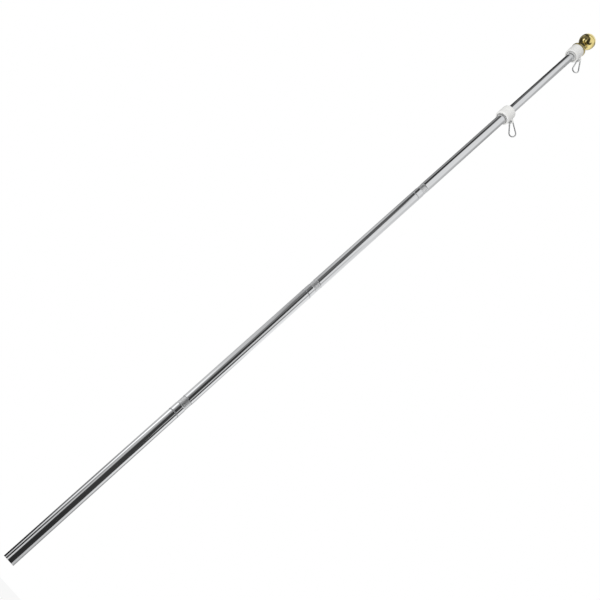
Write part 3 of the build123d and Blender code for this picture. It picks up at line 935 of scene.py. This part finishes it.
def pole_and_ball_cards(settings):
    """Cards on a cylinder round the pole and on a sphere round the ball, each card a little
    further out than the one before, so that the first of them lie on top.  A card that starts
    at level 0 stands on the floor and runs on along it to the pole's foot."""
    place = np.array(settings.camera_place) * (1, 1, 0)
    distance = np.linalg.norm(place)
    above = np.array((0.0, 0.0, 1.0))
    towards = place / distance
    aside = np.cross(above, towards)

    def around(turn):
        return np.cos(turn)[..., None] * towards + np.sin(turn)[..., None] * aside

    for step, (name, soft, stations) in enumerate(POLE_CARDS):
        reach = settings.pole_reach * (1 + CARD_STEP * step)
        rise = 1 + reach / distance
        floor = (FLOOR_GAP * (1 - FLOOR_STEP * step) - settings.floor_drop) / rise
        stands = stations[0][0] == 0
        if stands:
            stations = [(floor - 1, *stations[0][1:]), *stations]
        level, turn, light, cover = card_patch(stations, soft, POLE_CARD_FADE, stands)
        along = np.clip(1 + level - floor, 0, 1)[..., None]
        height = (np.maximum(level, floor) * rise)[..., None]
        stage_card(name, reach * along * around(turn) + height * above, light, cover)
    middle = (extent("finial_ball")[2] - extent("finial_ball")[0]) * above
    for step, (name, soft, stations) in enumerate(BALL_CARDS):
        reach = settings.ball_reach * (1 + CARD_STEP * step)
        level, turn, light, cover = card_patch(stations, soft, soft, False)
        level = np.radians(level)[..., None]
        way = np.cos(level) * around(turn) + np.sin(level) * above
        stage_card(name, middle + reach * way, light, cover)


def softbox(name, place, aim, size, power):
    """Square area lamp that faces its aim."""
    lamp = bpy.data.lights.new(name, "AREA")
    lamp.shape = "SQUARE"
    lamp.size = size
    lamp.energy = power
    holder = bpy.data.objects.new(name, lamp)
    holder.location = place
    holder.rotation_euler = (Vector(aim) - Vector(place)).to_track_quat("-Z", "Y").to_euler()
    holder.visible_glossy = False
    bpy.context.scene.collection.objects.link(holder)


def seen_by(tree, *rays):
    """1 on rays of any of the given kinds, else 0."""
    kinds = add(tree, "ShaderNodeLightPath").outputs
    seen = kinds[rays[0]]
    for ray in rays[1:]:
        seen = add(tree, "ShaderNodeMath", {0: seen, 1: kinds[ray]}, operation="MAXIMUM").outputs[0]
    return seen


def white_surround(settings):
    """World: plain white where the camera, metal and glass see it, softer as a light."""
    world = bpy.data.worlds.new("white_surround")
    world.use_nodes = True
    bpy.context.scene.world = world
    tree = world.node_tree
    tree.nodes.clear()
    seen = seen_by(tree, "Is Camera Ray", "Is Glossy Ray", "Is Transmission Ray")
    strength = add(tree, "ShaderNodeMapRange", {"Value": seen, "To Min": settings.fill,
                                                "To Max": 1.0}).outputs["Result"]
    light = add(tree, "ShaderNodeBackground", {"Color": (1, 1, 1, 1), "Strength": strength})
    add(tree, "ShaderNodeOutputWorld", {"Surface": light.outputs[0]})


def matt_floor_paper(tree):
    """Matt white paper that glows a little for the camera and in metal, enough to be white
    where no shadow lies on it."""
    paper = add(tree, "ShaderNodeBsdfDiffuse", {"Color": (0.9, 0.9, 0.9, 1.0)})
    lift = add(tree, "ShaderNodeMath", {0: seen_by(tree, "Is Camera Ray", "Is Glossy Ray"),
                                        1: bpy.context.scene.flagpole_stage.floor_lift},
               operation="MULTIPLY").outputs[0]
    glow = add(tree, "ShaderNodeEmission", {"Color": (1, 1, 1, 1), "Strength": lift})
    return add(tree, "ShaderNodeAddShader", {0: paper.outputs[0], 1: glow.outputs[0]}).outputs[0]


def pale_floor(settings):
    """Wide floor under the foot, a flat grid in the plane z = -drop."""
    side = np.linspace(-FLOOR_HALF, FLOOR_HALF, FLOOR_POINTS)
    x, y = np.meshgrid(side, side)
    points = np.stack([x, y, np.full_like(x, -settings.floor_drop)], -1)
    faces = grid_faces(FLOOR_POINTS, FLOOR_POINTS, False, False)
    make_piece("floor", points, faces, [finish_of(matt_floor_paper)])


def set_camera(settings):
    """Camera at its place, aimed at the pole and turned about its axis by the roll."""
    place, aim = Vector(settings.camera_place), Vector(settings.camera_aim)
    ahead = (aim - place).normalized()
    level = ahead.cross(Vector((0, 0, 1))).normalized()
    above = level.cross(ahead)
    right = level * cos(settings.camera_roll) + above * sin(settings.camera_roll)
    up = right.cross(ahead)
    camera = bpy.data.objects.new("camera", bpy.data.cameras.new("camera"))
    camera.data.sensor_width = 36
    camera.data.lens = settings.lens
    turn = Matrix((right, up, -ahead)).transposed().to_4x4()
    camera.matrix_world = Matrix.Translation(place) @ turn
    bpy.context.scene.collection.objects.link(camera)
    bpy.context.scene.camera = camera


class FLAGPOLE_OT_stage(bpy.types.Operator):
    """Pale floor, white surround, soft light, dark cards for the metal, and the camera"""
    bl_idname = "flagpole.stage"
    bl_label = "Stage"

    def execute(self, context):
        settings = context.scene.flagpole_stage
        context.scene.view_settings.view_transform = "Standard"
        white_surround(settings)
        pale_floor(settings)
        for lamp in LAMPS:
            softbox(*lamp)
        pole_and_ball_cards(settings)
        set_camera(settings)
        return {"FINISHED"}


# --- add-on ---------------------------------------------------------------------------------
SETTINGS = {"flagpole": PoleSettings, "flagpole_ring": RingSettings,
            "flagpole_hook": HookSettings, "flagpole_finial": FinialSettings,
            "flagpole_stage": StageSettings}
OPERATORS = (FLAGPOLE_OT_tubes, FLAGPOLE_OT_couplings, FLAGPOLE_OT_foot_plug, FLAGPOLE_OT_rings,
             FLAGPOLE_OT_hooks, FLAGPOLE_OT_finial, FLAGPOLE_OT_stage)


class FLAGPOLE_PT_sidebar(bpy.types.Panel):
    """Sizes, colours and making steps of the flagpole"""
    bl_label = "Flagpole"
    bl_space_type = "VIEW_3D"
    bl_region_type = "UI"
    bl_category = "Flagpole"

    def draw(self, context):
        for group, kind in SETTINGS.items():
            box = self.layout.box()
            box.label(text=kind.__doc__.strip("."))
            for name in kind.__annotations__:
                box.prop(getattr(context.scene, group), name)
        for operator in OPERATORS:
            self.layout.operator(operator.bl_idname)


CLASSES = (*SETTINGS.values(), *OPERATORS, FLAGPOLE_PT_sidebar)


def register():
    for item in CLASSES:
        bpy.utils.register_class(item)
    for group, kind in SETTINGS.items():
        setattr(bpy.types.Scene, group, bpy.props.PointerProperty(type=kind))


def unregister():
    for group in SETTINGS:
        delattr(bpy.types.Scene, group)
    for item in reversed(CLASSES):
        bpy.utils.unregister_class(item)


def main():
    """Makes every piece and the stage."""
    register()
    for operator in OPERATORS:
        family, step = operator.bl_idname.split(".")
        getattr(getattr(bpy.ops, family), step)()


if __name__ == "__main__":
    main()
